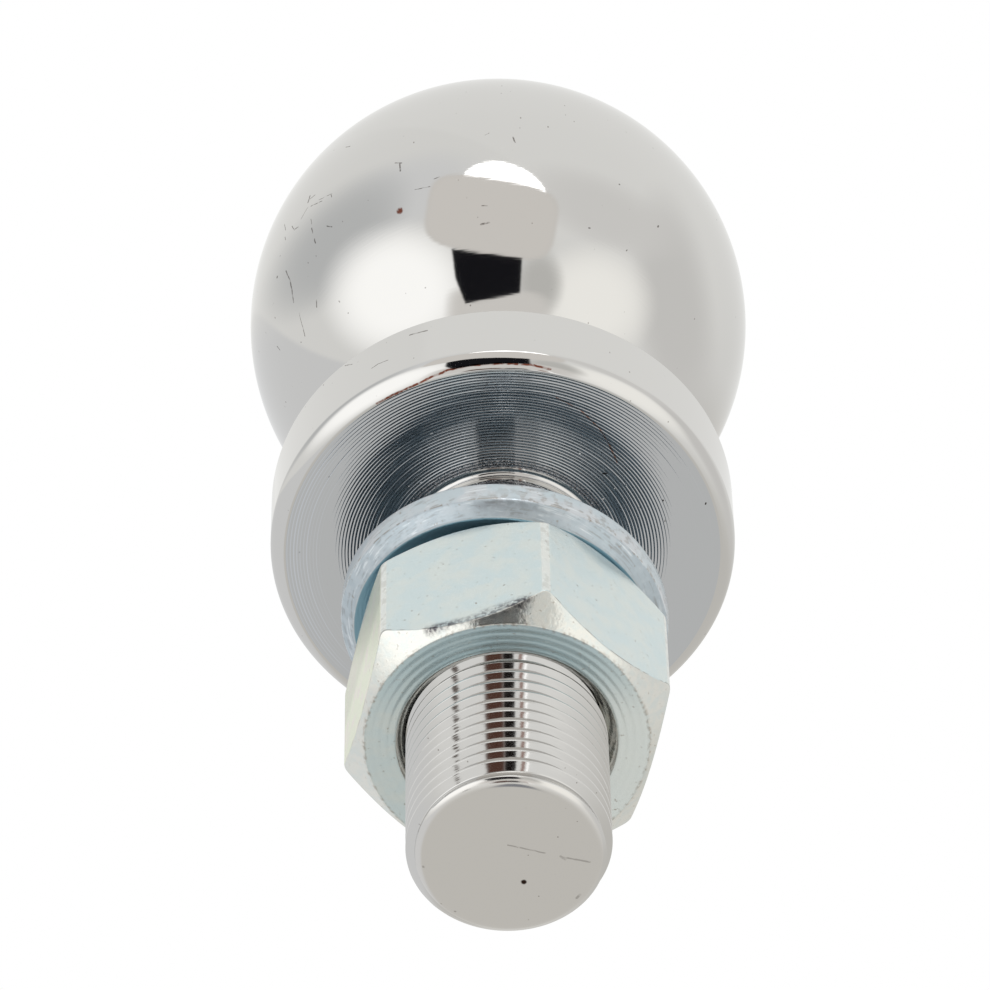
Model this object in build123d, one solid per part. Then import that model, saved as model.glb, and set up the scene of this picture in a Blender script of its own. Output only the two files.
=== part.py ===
from build123d import *
import math
import os

# Threaded tow ball: a ball on a collar with a threaded shank, a split spring washer and a hexagon nut.
# Millimetres. +Z runs up the axis, from the shank to the ball.
# The origin is the centre of the collar's turned underside, the face that seats on the drawbar.

# Ball and neck
ball_diameter = 50.8
ball_centre_height = 42.45
crown_flat_diameter = 16.0
neck_diameter = 27.0
neck_to_ball_fillet = 1.5
neck_to_collar_fillet = 5.0

# Collar
collar_diameter = 45.4
collar_thickness = 8.85
collar_top_chamfer = 0.5
collar_bottom_chamfer = 1.4

# Shank: 3/4 inch with 16 threads to the inch, shown as a plain cylinder over the crests
shank_diameter = 19.05
shank_length = 49.85
shank_root_chamfer = 0.6
shank_end_chamfer = 1.35

# Hexagon nut
nut_across_flats = 27.9
nut_height = 16.3
nut_face_circle = 26.8
nut_bearing_circle = 27.4
nut_chamfer_angle = 45.0
nut_countersink_diameter = 20.9
nut_bearing_countersink_diameter = 20.1
nut_turn = -15.6
nut_below_collar = 15.5
thread_running_clearance = 0.05

# Spring washer
washer_bore_clearance = 0.9
washer_bar_width = 5.8
washer_thickness = 3.8
washer_end_offset = 2.0
washer_gap_width = 3.5
washer_gap_direction = 90.0
washer_outer_chamfer = 0.9
washer_lean_direction = 120.0
washer_lean_clearance = 0.05
washer_seat_clearance = 0.05

# Sizes that follow
ball_radius = ball_diameter / 2
neck_radius = neck_diameter / 2
collar_radius = collar_diameter / 2
shank_radius = shank_diameter / 2
nut_corner_radius = nut_across_flats / 2 / math.cos(math.radians(30))
nut_bore_radius = shank_radius + thread_running_clearance
nut_bearing_face_z = -nut_below_collar
nut_end_face_z = nut_bearing_face_z - nut_height
washer_bore_radius = (shank_diameter + washer_bore_clearance) / 2
washer_mean_radius = washer_bore_radius + washer_bar_width / 2
washer_gap_angle = math.degrees(washer_gap_width / washer_mean_radius)


def revolved(outline):
    """Turn a closed outline, drawn as radius and height, about the Z axis."""
    return revolve(Plane.XZ * make_face(outline), Axis.Z)


def shank_outline():
    """The shank from the middle of its end to the small flare at its root under the collar."""
    end_z = -shank_length
    return Polyline(
        (0, end_z),
        (shank_radius - shank_end_chamfer, end_z),
        (shank_radius, end_z + shank_end_chamfer),
        (shank_radius, -shank_root_chamfer),
        (shank_radius + shank_root_chamfer, 0),
    )


def collar_outline(start):
    """The collar's underside, chamfers, rim and top, up to the foot of the neck."""
    collar = Polyline(
        start,
        (collar_radius - collar_bottom_chamfer, 0),
        (collar_radius, collar_bottom_chamfer),
        (collar_radius, collar_thickness - collar_top_chamfer),
        (collar_radius - collar_top_chamfer, collar_thickness),
        (neck_radius + neck_to_collar_fillet, collar_thickness),
    )
    foot = RadiusArc(collar @ 1, (neck_radius, collar_thickness + neck_to_collar_fillet), neck_to_collar_fillet)
    return [collar, foot]


def ball_outline(start):
    """The neck's waist, the fillet under the ball, the ball and the small flat on its crown."""
    fillet_x = neck_radius + neck_to_ball_fillet
    reach = ball_radius + neck_to_ball_fillet
    fillet_z = ball_centre_height - math.sqrt(reach**2 - fillet_x**2)
    share = ball_radius / reach
    touch = (fillet_x * share, ball_centre_height + (fillet_z - ball_centre_height) * share)
    crown_radius = crown_flat_diameter / 2
    crown_z = ball_centre_height + math.sqrt(ball_radius**2 - crown_radius**2)
    waist = Line(start, (neck_radius, fillet_z))
    throat = RadiusArc(waist @ 1, touch, neck_to_ball_fillet)
    ball = ThreePointArc(touch, (ball_radius, ball_centre_height), (crown_radius, crown_z))
    crown = Line(ball @ 1, (0, crown_z))
    return [waist, throat, ball, crown]


def tow_ball():
    """Ball, neck, collar and shank, forged and turned as one piece."""
    lines = [shank_outline()]
    lines += collar_outline(lines[-1] @ 1)
    lines += ball_outline(lines[-1] @ 1)
    lines.append(Line(lines[-1] @ 1, lines[0] @ 0))
    return revolved(lines)


def double_cone():
    """The turned blank that cuts the nut's corners on both faces."""
    middle = nut_height / 2
    out = middle / math.tan(math.radians(nut_chamfer_angle))
    face_radius = nut_face_circle / 2
    bearing_radius = nut_bearing_circle / 2
    outline = Polyline(
        (0, 0),
        (face_radius, 0),
        (face_radius + out, middle),
        (bearing_radius + out, middle),
        (bearing_radius, nut_height),
        (0, nut_height),
        close=True,
    )
    return revolved([outline])


def threaded_bore():
    """The nut's bore over the thread crests, with a countersink at each mouth."""
    face_flare = nut_countersink_diameter / 2 - nut_bore_radius
    bearing_flare = nut_bearing_countersink_diameter / 2 - nut_bore_radius
    outline = Polyline(
        (0, 0),
        (nut_bore_radius + face_flare, 0),
        (nut_bore_radius, face_flare),
        (nut_bore_radius, nut_height - bearing_flare),
        (nut_bore_radius + bearing_flare, nut_height),
        (0, nut_height),
        close=True,
    )
    return revolved([outline])


def hex_nut():
    """A hexagon nut, chamfered and countersunk on both faces, run up the thread."""
    prism = extrude(RegularPolygon(nut_corner_radius, 6), nut_height)
    nut = prism & double_cone()
    nut -= threaded_bore()
    return Pos(0, 0, nut_end_face_z) * Rot(0, 0, nut_turn) * nut


def washer_section():
    """The washer's bar, with its lower outer edge broken."""
    bar = Rectangle(washer_bar_width, washer_thickness)
    lower_outer = bar.vertices().sort_by(Axis.Y)[:2].sort_by(Axis.X)[-1]
    return chamfer(lower_outer, washer_outer_chamfer)


def washer_lean():
    """The angle in degrees at which the loose washer's bore comes to bear on the shank."""
    tall = washer_thickness + washer_end_offset
    bore = 2 * washer_bore_radius
    passage = (shank_diameter + 2 * washer_lean_clearance) / math.hypot(bore, tall)
    return math.degrees(math.acos(min(passage, 1.0)) - math.atan2(tall, bore))


def spring_washer():
    """A left-hand turn of bar, split at the back, leaning on the shank and resting on the nut."""
    turn = 360.0 - washer_gap_angle
    path = Helix(washer_end_offset * 360.0 / turn, washer_end_offset, washer_mean_radius, lefthand=True)
    start = Plane(origin=path @ 0, x_dir=(1, 0, 0), z_dir=path % 0)
    washer = sweep(start * washer_section(), path=path, is_frenet=True)
    washer = Rot(0, 0, washer_gap_direction - washer_gap_angle / 2) * Pos(0, 0, -washer_end_offset / 2) * washer
    toward = math.radians(washer_lean_direction)
    washer = washer.rotate(Axis((0, 0, 0), (math.sin(toward), -math.cos(toward), 0)), washer_lean())
    drop = nut_bearing_face_z + washer_seat_clearance - washer.bounding_box().min.Z
    return Pos(0, 0, drop) * washer


def main():
    os.makedirs("parts", exist_ok=True)
    nodes = {"tow_ball": tow_ball(), "hex_nut": hex_nut(), "spring_washer": spring_washer()}
    for name, solid in nodes.items():
        export_step(solid, f"parts/{name}.step")


main()
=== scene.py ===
"""A threaded tow ball: looks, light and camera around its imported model.

Each sub-assembly is a class that works out its own surfaces as whole numpy arrays and dresses them
in a finish. Lengths are millimetres up to the moment a mesh is made, because that is how such a part
is drawn. The frame has its origin in the centre of the collar's underside, +Z up the axis to the ball.
"""

import logging
import math
from collections.abc import Mapping, Sequence
from dataclasses import dataclass, field
from enum import Enum, IntEnum

import bpy
import numpy as np
from mathutils import Matrix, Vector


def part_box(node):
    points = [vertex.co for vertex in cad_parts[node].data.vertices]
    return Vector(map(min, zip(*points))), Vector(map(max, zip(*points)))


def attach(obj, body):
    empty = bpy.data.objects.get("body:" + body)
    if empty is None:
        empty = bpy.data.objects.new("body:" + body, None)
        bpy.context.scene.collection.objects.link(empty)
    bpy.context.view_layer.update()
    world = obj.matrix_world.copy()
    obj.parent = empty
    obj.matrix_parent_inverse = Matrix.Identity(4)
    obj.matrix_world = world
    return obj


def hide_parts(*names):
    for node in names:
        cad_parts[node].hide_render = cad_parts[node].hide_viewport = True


logging.basicConfig(level=logging.INFO, format="%(message)s")
log = logging.getLogger("tow_ball")

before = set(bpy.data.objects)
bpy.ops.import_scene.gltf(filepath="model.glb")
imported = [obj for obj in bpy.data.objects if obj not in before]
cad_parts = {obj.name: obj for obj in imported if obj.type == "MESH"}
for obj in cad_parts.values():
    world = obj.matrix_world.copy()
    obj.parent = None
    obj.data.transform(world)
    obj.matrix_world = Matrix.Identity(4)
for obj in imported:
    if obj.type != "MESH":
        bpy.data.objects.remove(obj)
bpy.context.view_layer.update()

MM = 0.001
INCH = 25.4
FULL_TURN = 2.0 * math.pi
SAME_PLACE = 1e-4                         # points of a skin that are this near are one
WOBBLE_MM, WOBBLE_REACH = 0.5, 0.06       # how far apart a scratch swerves, and how far
SPOT_EDGE, SPOT_CORE = 0.11, 0.05         # the rim of a speck, in widths of its cell
FAR_INSIDE = 10.0                         # deeper than any place in a board
NOT_ZERO = 1e-4                           # keeps the square root above 0 right behind the ball
DOWN, TO_THE_RIGHT = (0.0, 0.0, -1.0), (1.0, 0.0, 0.0)
BARE_STEEL, BARE_RIM, PALE_WEAR_AND_HIGHLIGHT = "8c7f70", "a39b90", "e6e5e0"

Array = np.ndarray
Tree = bpy.types.NodeTree
Socket = bpy.types.NodeSocket
Place = tuple[float, float, float]
Inputs = Mapping[str | int, object]


# ---------------------------------------------------------------- colour and nodes

def linear(code: str) -> tuple[float, float, float, float]:
    """Turn an sRGB hex code into linear light.

    Args:
        code: Six hex digits, such as "c8d4d8".

    Returns:
        Red, green and blue in linear light, and an alpha of 1.
    """
    shares = [int(code[i:i + 2], 16) / 255 for i in (0, 2, 4)]
    light = [s / 12.92 if s <= 0.04045 else ((s + 0.055) / 1.055) ** 2.4 for s in shares]
    return (light[0], light[1], light[2], 1.0)


def add(tree: Tree, kind: str, inputs: Inputs | None = None, **settings: object) -> bpy.types.Node:
    """Add one node with its settings, its values and its links.

    Args:
        tree: The node tree that takes the node.
        kind: Blender's name for the kind of node.
        inputs: For each input socket, by name or number, a value or the output socket that feeds it.
        settings: Properties of the node itself, such as operation.

    Returns:
        The new node.
    """
    node = tree.nodes.new(kind)
    for name, value in settings.items():
        setattr(node, name, value)
    for key, value in (inputs or {}).items():
        if isinstance(value, Socket):
            tree.links.new(value, node.inputs[key])
        else:
            node.inputs[key].default_value = value
    return node


def number(tree: Tree, operation: str, *values: object, clamp: bool = False) -> Socket:
    """Combine numbers by a Math operation."""
    return add(tree, "ShaderNodeMath", dict(enumerate(values)), operation=operation, use_clamp=clamp).outputs[0]


def vector(tree: Tree, operation: str, *values: object) -> Socket:
    """Combine vectors by a Vector Math operation.

    Args:
        tree: The node tree.
        operation: Blender's name for the operation.
        values: Its inputs in order, each a value or a socket.

    Returns:
        The vector, or the number that a dot product, a length or a distance gives.
    """
    keys = (0, "Scale") if operation == "SCALE" else (0, 1, 2)
    node = add(tree, "ShaderNodeVectorMath", dict(zip(keys, values)), operation=operation)
    return node.outputs["Value" if operation in ("DOT_PRODUCT", "LENGTH", "DISTANCE") else "Vector"]


def times(tree: Tree, first: Socket, second: object) -> Socket:
    """Multiply two numbers."""
    return number(tree, "MULTIPLY", first, second)


def ramp(tree: Tree, value: Socket, low: float, high: float, at_low: float = 0.0, at_high: float = 1.0) -> Socket:
    """Go smoothly from one number, where the value is low, to another, where it is high."""
    span = {"Value": value, "From Min": low, "From Max": high, "To Min": at_low, "To Max": at_high}
    return add(tree, "ShaderNodeMapRange", span, interpolation_type="SMOOTHSTEP").outputs["Result"]


def blend(tree: Tree, share: Socket, first: object, second: object) -> Socket:
    """Mix two colours, where a share of 1 gives the second."""
    return add(tree, "ShaderNodeMix", {"Factor": share, 6: first, 7: second}, data_type="RGBA").outputs[2]


def noise(tree: Tree, place: Socket, spacing_mm: float, detail: float) -> Socket:
    """Draw noise whose features lie a number of millimetres apart."""
    inputs = {"Vector": place, "Scale": 1 / (spacing_mm * MM), "Detail": detail}
    return add(tree, "ShaderNodeTexNoise", inputs).outputs["Fac"]


def spots(tree: Tree, place: Socket, spacing_mm: float, least: float, most: float, depth: float) -> Socket:
    """Draw small round spots in some of the cells of a random pattern.

    Args:
        tree: The node tree.
        place: The place in the object's own coordinates.
        spacing_mm: The width of a cell.
        least: Cells whose random number is below this have no spot.
        most: Cells whose random number is above this have a full spot.
        depth: What a full spot counts.

    Returns:
        A number that is the depth in a full spot and 0 away from the spots.
    """
    cells = add(tree, "ShaderNodeTexVoronoi", {"Vector": place, "Scale": 1 / (spacing_mm * MM)})
    chosen = vector(tree, "DOT_PRODUCT", cells.outputs["Color"], TO_THE_RIGHT)
    near = ramp(tree, cells.outputs["Distance"], SPOT_EDGE, SPOT_CORE)
    return times(tree, near, ramp(tree, chosen, least, most, 0.0, depth))


def from_axis(tree: Tree, place: Socket) -> tuple[Socket, Socket]:
    """Give the way from the Z axis out to a place, and the distance."""
    flat = vector(tree, "MULTIPLY", place, (1.0, 1.0, 0.0))
    return flat, vector(tree, "LENGTH", flat)


def metal(name: str, colour: str, roughness: float) -> tuple[bpy.types.Material, Tree, bpy.types.Node]:
    """Start a metal from its colour and polish.

    Args:
        name: The material's name.
        colour: The sRGB hex code of what it reflects of white.
        roughness: How much the surface spreads a reflection.

    Returns:
        The material, its node tree and its surface shader.
    """
    material = bpy.data.materials.new(name)
    material.use_nodes = True
    tree = material.node_tree
    shader = tree.nodes["Principled BSDF"]
    shader.inputs["Base Color"].default_value = linear(colour)
    shader.inputs["Metallic"].default_value = 1.0
    shader.inputs["Roughness"].default_value = roughness
    return material, tree, shader


# ---------------------------------------------------------------- surfaces

@dataclass
class Sheet:
    """A grid of points that is part of a skin.

    Attributes:
        points: Rows by columns by three, in millimetres.
        normals: The exact outward direction at each point.
        slot: The number of the material slot that its faces take.
    """

    points: Array
    normals: Array
    slot: int = 0


def soften(path: Array, radii: Sequence[float], steps: int = 4) -> tuple[Array, Array]:
    """Round the inner corners of a drawn path and keep the direction along it.

    Each corner becomes an arc that touches both legs at radius / tan(half the corner's angle) from it.
    The arc's points are the two touching spokes, blended by the sines of the angles between them.
    A corner with radius 0 stays sharp, as one point for each leg.

    Args:
        path: Corners by columns by two, each a radius and a height.
        radii: The radius of each inner corner.
        steps: The spans that make up one arc.

    Returns:
        The path's points and the unit directions along it, both rows by columns by two.
    """
    legs = path[1:] - path[:-1]
    along = legs / np.linalg.norm(legs, axis=-1, keepdims=True)
    rows, ways = [path[0]], [along[0]]
    share = np.linspace(0.0, 1.0, steps + 1)[:, None, None]
    for i, radius in enumerate(radii):
        corner, before, after = path[i + 1], -along[i], along[i + 1]
        turn = np.arccos(np.clip(np.sum(along[i] * after, axis=-1, keepdims=True), -1.0, 1.0))
        if radius == 0.0:
            rows += [corner, corner]
            ways += [along[i], after]
            continue
        turn = np.maximum(turn, 1e-6)
        reach = radius * np.tan(turn / 2)
        middle = before + after
        middle = middle / np.maximum(np.linalg.norm(middle, axis=-1, keepdims=True), 1e-9)
        centre = corner + middle * radius / np.cos(turn / 2)
        spokes = (corner + before * reach - centre, corner + after * reach - centre)
        first, last = np.sin((1 - share) * turn) / np.sin(turn), np.sin(share * turn) / np.sin(turn)
        arc = centre + first * spokes[0] + last * spokes[1]
        way = first * along[i] + last * after
        rows += list(arc)
        ways += list(way)
    rows.append(path[-1])
    ways.append(along[-1])
    return np.array(rows), np.array(ways)


def divide(rows: Array, ways: Array, longest: float) -> tuple[Array, Array]:
    """Put more rows on a path's long legs.

    Args:
        rows: The path's points, rows by columns by two.
        ways: The unit directions along it.
        longest: The longest leg that is left whole.

    Returns:
        The points and directions with the added rows.
    """
    spans = np.linalg.norm(rows[1:] - rows[:-1], axis=-1).max(axis=-1)
    counts = np.maximum(1, np.ceil(spans / longest)).astype(int)
    at = np.concatenate([i + np.arange(n) / n for i, n in enumerate(counts)] + [[len(rows) - 1]])
    low = np.minimum(at.astype(int), len(rows) - 2)
    share = (at - low)[:, None, None]
    return rows[low] * (1 - share) + rows[low + 1] * share, ways[low] * (1 - share) + ways[low + 1] * share


def turned(rows: Array, ways: Array, angles: Array, slot: int = 0) -> Sheet:
    """Turn a path about the Z axis.

    A point is (radius cos angle, radius sin angle, height). Its normal is the path's direction turned
    a quarter, so that a path drawn upwards on the right of the axis faces away from it.

    Args:
        rows: Rows by one or by columns by two, each a radius and a height.
        ways: The unit directions along the path.
        angles: One angle for each column, in radians.
        slot: The material slot.

    Returns:
        The surface.
    """
    radius, height = np.broadcast_arrays(rows[..., 0] + 0 * angles, rows[..., 1] + 0 * angles)
    out, up = ways[..., 1] + 0 * angles, -ways[..., 0] + 0 * angles
    cos, sin = np.cos(angles), np.sin(angles)
    points = np.stack([radius * cos, radius * sin, height], axis=-1)
    return Sheet(points, np.stack([out * cos, out * sin, up], axis=-1), slot)


def stitch(name: str, sheets: Sequence[Sheet], exact: bool) -> bpy.types.Object:
    """Join sheets into one closed skin and make it an object.

    Points at the same place become one point, cells that lose a side become triangles, and cells that
    lose their area go. The normals of points that meet are added and brought back to length 1.

    Args:
        name: The object's name.
        sheets: The surfaces, which meet along shared rows of points.
        exact: Whether the mesh is shaded with the sheets' own normals.

    Returns:
        The object, at the origin, with its place in its mesh.
    """
    points = np.concatenate([s.points.reshape(-1, 3) for s in sheets])
    normals = np.concatenate([s.normals.reshape(-1, 3) for s in sheets])
    cells, slots, start = [], [], 0
    for sheet in sheets:
        rows, columns = sheet.points.shape[:2]
        index = start + np.arange(rows * columns).reshape(rows, columns)
        quads = np.stack([index[:-1, :-1], index[:-1, 1:], index[1:, 1:], index[1:, :-1]], axis=-1).reshape(-1, 4)
        cells.append(quads)
        slots.append(np.full(len(quads), sheet.slot))
        start += rows * columns
    keys = np.round(points / SAME_PLACE).astype(np.int64)
    _, first, place = np.unique(keys, axis=0, return_index=True, return_inverse=True)
    place = place.reshape(-1)
    merged = np.zeros((len(first), 3))
    np.add.at(merged, place, normals)
    merged /= np.maximum(np.linalg.norm(merged, axis=1, keepdims=True), 1e-12)
    quads, slots = place[np.concatenate(cells)], np.concatenate(slots)
    lost = quads == np.roll(quads, -1, axis=1)
    folded = (quads[:, 0] == quads[:, 2]) | (quads[:, 1] == quads[:, 3])
    whole, short = (lost.sum(axis=1) == 0) & ~folded, (lost.sum(axis=1) == 1) & ~folded
    corners = quads[short][~lost[short]].reshape(-1, 3)
    faces = quads[whole].tolist() + corners.tolist()
    slots = np.concatenate([slots[whole], slots[short]])
    mesh = bpy.data.meshes.new(name)
    mesh.from_pydata((points[first] * MM).tolist(), [], faces)
    mesh.polygons.foreach_set("material_index", slots.astype(np.int32))
    mesh.polygons.foreach_set("use_smooth", np.ones(len(faces), dtype=bool))
    mesh.update()
    if exact:
        mesh.normals_split_custom_set_from_vertices(merged.tolist())
    piece = bpy.data.objects.new(name, mesh)
    bpy.context.scene.collection.objects.link(piece)
    return piece


def smoothstep(low: float, high: float, value: Array) -> Array:
    """Rise from 0 at low to 1 at high along 3t^2 - 2t^3."""
    share = np.clip((value - low) / (high - low), 0.0, 1.0)
    return share * share * (3.0 - 2.0 * share)


# ---------------------------------------------------------------- thread

@dataclass(frozen=True)
class ThreadForm:
    """A unified 60 degree thread: one ridge, drawn across a single pitch.

    Attributes:
        pitch: Millimetres from ridge to ridge.
        crest_radius: The radius of the ridge, or of the groove's floor inside a nut.
        root_radius: The radius between the ridges.
        crest_share: The flat on the ridge as a share of the pitch.
        crest_round: The radius that plating and use leave on the ridge's edges.
        root_round: The radius in the groove.
        steps: The spans that make up a rounded edge.
    """

    pitch: float = INCH / 16
    crest_radius: float = 9.525
    root_radius: float = 8.666
    crest_share: float = 1 / 8
    crest_round: float = 0.07
    root_round: float = 0.16
    steps: int = 2

    def ridge(self) -> tuple[Array, Array]:
        """Draw one pitch from the middle of a crest to the middle of the next.

        The flank falls 60 degrees to the axis, so that it covers depth * tan(30) of the pitch.

        Returns:
            Points as radius and height, and the directions along them.
        """
        flat = self.crest_share * self.pitch / 2
        flank = (self.crest_radius - self.root_radius) * math.tan(math.radians(30))
        corners = [
            (self.crest_radius, 0.0),
            (self.crest_radius, flat),
            (self.root_radius, flat + flank),
            (self.root_radius, self.pitch - flat - flank),
            (self.crest_radius, self.pitch - flat),
            (self.crest_radius, self.pitch),
        ]
        radii = [self.crest_round, self.root_round, self.root_round, self.crest_round]
        rows, ways = soften(np.array(corners)[:, None, :], radii, self.steps)
        return rows[:-1, 0], ways[:-1, 0]

    def wind(self, low: float, high: float, angles: Array) -> tuple[Array, Array, Array]:
        """Lay the ridge along a right-hand helix between two heights.

        Each row keeps its place across the ridge, and its height rises by one pitch in a full turn:
        height = (turn number + place across the ridge + angle / full turn) * pitch, held between low
        and high. A row's last column is the first column of the same row one turn on.

        Args:
            low: The lowest height.
            high: The highest height.
            angles: One angle for each column, from 0 to a full turn.

        Returns:
            Radius, height and direction along the ridge, each rows by columns.
        """
        rows, ways = self.ridge()
        first, last = math.floor(low / self.pitch) - 1, math.ceil(high / self.pitch) + 1
        turns = np.arange(first, last)[:, None] * self.pitch
        height = (turns + rows[:, 1]).reshape(-1, 1) + angles * self.pitch / FULL_TURN
        radius = np.tile(rows[:, 0], last - first)[:, None] + 0 * angles
        way = np.tile(ways, (last - first, 1))[:, None, :] + 0 * angles[:, None]
        return radius, np.clip(height, low, high), way


def wound(radius: Array, height: Array, way: Array, angles: Array, lead: float, slot: int = 0) -> Sheet:
    """Make a surface of rows that climb as they go round.

    The normal is the cross product of the direction round, (-radius sin, radius cos, lead / full turn),
    and the direction along the ridge, (outward cos, outward sin, up).

    Args:
        radius: Rows by columns.
        height: Rows by columns.
        way: Rows by columns by two, the directions along the ridge.
        angles: One angle for each column.
        lead: The climb in a full turn.
        slot: The material slot.

    Returns:
        The surface.
    """
    cos, sin = np.cos(angles), np.sin(angles)
    points = np.stack([radius * cos, radius * sin, height], axis=-1)
    rise = np.full_like(radius, lead / FULL_TURN)
    round_way = np.stack([-radius * sin, radius * cos, rise], axis=-1)
    up_way = np.stack([way[..., 0] * cos, way[..., 0] * sin, way[..., 1]], axis=-1)
    normals = np.cross(round_way, up_way)
    normals /= np.maximum(np.linalg.norm(normals, axis=-1, keepdims=True), 1e-12)
    return Sheet(points, normals, slot)


# ---------------------------------------------------------------- wear

class Wear(Enum):
    """How much handling a surface shows, as the share of specks that are drawn."""

    NEW = 0.0
    HANDLED = 0.5
    SCUFFED = 1.0


@dataclass(frozen=True)
class Mark:
    """A scratch between two points, or a nick where both are the same, in millimetres."""

    start: Place
    end: Place
    width: float

    def draw(self, tree: Tree, place: Socket) -> Socket:
        """Draw the mark.

        The nearest point of the line is start + share * way, with share = (place - start) . way / way . way
        held between 0 and 1.

        Args:
            tree: The node tree.
            place: The place in the object's own coordinates.

        Returns:
            A number that falls from 1 on the line to 0 at the mark's width from it.
        """
        start, way = np.array(self.start) * MM, (np.array(self.end) - np.array(self.start)) * MM
        nearest: object = tuple(start)
        if np.any(way):
            scaled = way / (way @ way)
            along = vector(tree, "DOT_PRODUCT", place, tuple(scaled))
            share = number(tree, "ADD", along, -float(start @ scaled), clamp=True)
            nearest = vector(tree, "MULTIPLY_ADD", tuple(way), share, nearest)
        away = vector(tree, "DISTANCE", place, nearest)
        return number(tree, "MULTIPLY_ADD", away, -1.0 / (self.width * MM), 1.0)


def scratches(*rows: tuple[float, ...]) -> tuple[Mark, ...]:
    """Read marks from rows of start, end and width, or of place and width for a nick."""
    return tuple(Mark(row[:3], row[-4:-1], row[-1]) for row in rows)


def chain(points: Sequence[Place], width: float) -> tuple[Mark, ...]:
    """Join points about the axis by marks.

    Args:
        points: For each point its radius, its angle from +X in degrees and its height.
        width: The marks' width.

    Returns:
        One mark fewer than there are points.
    """
    places = [(r * math.cos(math.radians(a)), r * math.sin(math.radians(a)), z) for r, a, z in points]
    return tuple(Mark(start, end, width) for start, end in zip(places, places[1:]))


def marked(tree: Tree, place: Socket, marks: Sequence[Mark], edge: float = 0.5) -> Socket:
    """Draw marks with a slight wobble and uneven depth.

    Args:
        tree: The node tree.
        place: The place in the object's own coordinates.
        marks: The marks.
        edge: How far in from its rim a mark reaches its full depth, as a share of its width.

    Returns:
        A number that is 1 in the marks and 0 away from them.
    """
    wander = add(tree, "ShaderNodeTexNoise", {"Vector": place, "Scale": 1 / (WOBBLE_MM * MM), "Detail": 1.0})
    shift = (2 * WOBBLE_REACH * MM,) * 3
    place = vector(tree, "MULTIPLY_ADD", wander.outputs["Color"], shift, place)
    place = vector(tree, "SUBTRACT", place, (WOBBLE_REACH * MM,) * 3)
    deepest: object = 0.0
    for mark in marks:
        deepest = number(tree, "MAXIMUM", mark.draw(tree, place), deepest)
    uneven = ramp(tree, wander.outputs["Fac"], 0.35, 0.55, 0.35, 1.0)
    return times(tree, ramp(tree, deepest, 0.0, edge), uneven)


# ---------------------------------------------------------------- wear and painted reflections in their places

BALL_MARKS = scratches(
    (-18.97, -16.70, 39.98, -18.77, -17.02, 40.70, 0.12), (-18.77, -16.97, 40.20, -18.24, -17.51, 40.05, 0.07),
    (-18.65, -16.88, 38.95, -17.51, -17.90, 38.18, 0.07), (-17.82, -17.71, 38.71, -16.47, -18.83, 38.04, 0.06),
    (-19.70, -15.57, 38.63, -18.97, -16.59, 39.26, 0.05), (-16.57, -18.75, 38.09, -16.51, -18.69, 37.61, 0.07),
    (-21.48, -13.49, 41.19, -21.34, -13.54, 39.92, 0.07), (-20.65, -14.42, 39.21, -20.40, -14.54, 38.22, 0.07),
    (-20.33, -14.63, 38.25, -20.01, -15.00, 38.02, 0.09), (-21.40, -13.25, 39.03, -21.35, -13.19, 38.54, 0.07),
    (-21.93, -11.87, 37.62, 0.12), (-18.65, -16.42, 37.17, -18.58, -16.25, 36.47, 0.05),
    (-18.59, -16.07, 36.00, -18.48, -15.89, 35.30, 0.09), (-18.30, -15.70, 34.45, -18.20, -15.54, 33.93, 0.10),
    (-16.99, -17.14, 34.53, -16.48, -17.36, 33.95, 0.08), (-22.24, -10.41, 35.95, 0.20),
    (-21.29, -11.67, 35.00, -20.88, -11.45, 33.60, 0.10), (-20.88, -11.45, 33.60, -20.68, -10.92, 32.53, 0.12),
    (-20.68, -10.92, 32.53, -20.53, -10.12, 31.44, 0.09), (-19.98, -9.68, 30.11, -19.60, -8.69, 28.83, 0.05),
    (-19.60, -8.69, 28.83, -19.41, -8.12, 28.22, 0.07), (-19.83, -7.29, 28.36, 0.12),
    (-18.16, -11.76, 29.14, -18.13, -11.23, 28.66, 0.09), (-15.85, -12.75, 27.24, -15.79, -12.70, 27.14, 0.09),
    (-14.95, -12.14, 25.89, 0.10), (-22.37, -4.97, 31.49, -22.06, -4.85, 30.84, 0.06),
    (-10.03, -22.74, 37.20, -9.36, -22.93, 36.84, 0.08), (-9.53, -22.89, 36.92, -9.49, -22.61, 35.82, 0.10),
    (-8.04, -22.13, 32.92, -6.54, -22.54, 32.75, 0.06), (-6.13, -22.97, 33.50, -5.62, -23.13, 33.60, 0.07),
    (-7.18, -16.04, 24.11, 0.12), (-15.07, -20.32, 44.72, -14.65, -20.68, 44.22, 0.08),
    (1.85, -24.96, 38.10, 2.03, -24.79, 37.31, 0.10), (-0.95, -25.06, 38.43, -0.55, -25.12, 38.71, 0.06),
    (-1.52, -20.86, 28.04, -0.73, -20.99, 28.17, 0.13), (-1.39, -21.98, 29.80, -0.89, -21.99, 29.76, 0.07),
    (12.42, -20.93, 35.18, 0.13), (16.19, -17.16, 33.04, 16.26, -17.18, 33.19, 0.12),
    (9.21, -19.55, 29.11, 9.31, -19.53, 29.14, 0.12), (12.91, -17.05, 28.75, 12.97, -17.07, 28.84, 0.09),
    (-8.58, -21.01, 7.21, -6.92, -21.62, 6.98, 0.12), (-12.30, -19.08, 4.42, -11.71, -19.45, 4.54, 0.08),
    (-11.71, -19.45, 4.54, -10.73, -20.00, 4.34, 0.06), (-14.99, -17.04, 8.21, -14.29, -17.64, 7.46, 0.07),
)
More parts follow.
